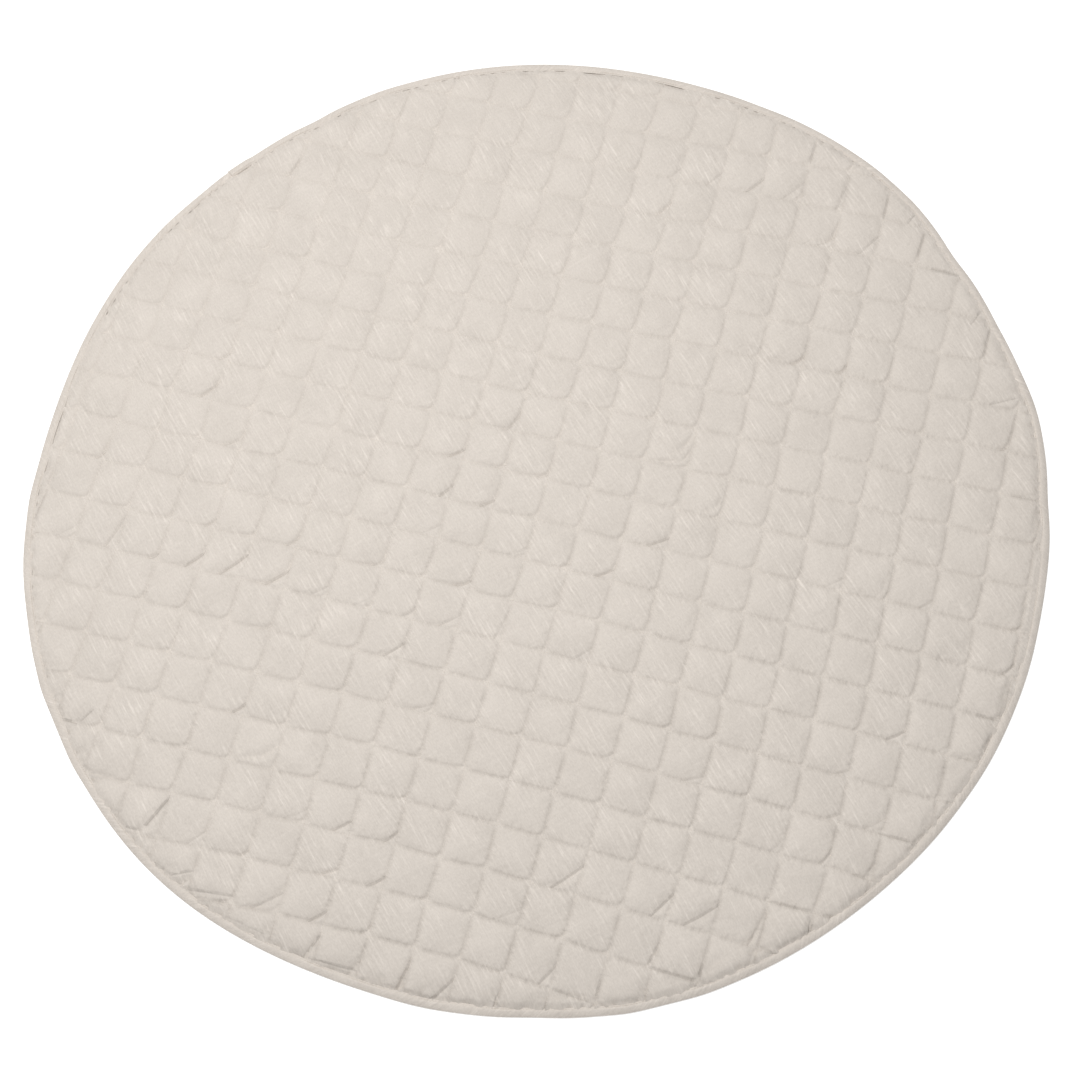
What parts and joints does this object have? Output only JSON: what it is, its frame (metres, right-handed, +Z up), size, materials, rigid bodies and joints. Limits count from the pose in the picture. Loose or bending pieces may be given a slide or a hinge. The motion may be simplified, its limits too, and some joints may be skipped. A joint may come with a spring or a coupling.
{
  "type": "round quilted baby play mat",
  "caption": "Round baby play mat of pale linen-coloured cloth, quilted in squares over thin wadding, with a narrow folded binding round its edge.",
  "frame": {"origin": "middle of the uneven outline's box, on the flat underside that lies on the floor", "axes": "+Z up from the floor, +X and +Y along the two families of quilting seams"},
  "size_m": [1.1912, 1.1926, 0.0084],
  "materials": {
    "panel_cloth": "matte slubby plain weave",
    "binding_cloth": "matte plain weave, folded"
  },
  "bodies": {
    "root": {"quilted_panel": "panel_cloth", "edge_binding": "binding_cloth"}
  },
  "joints": []
}
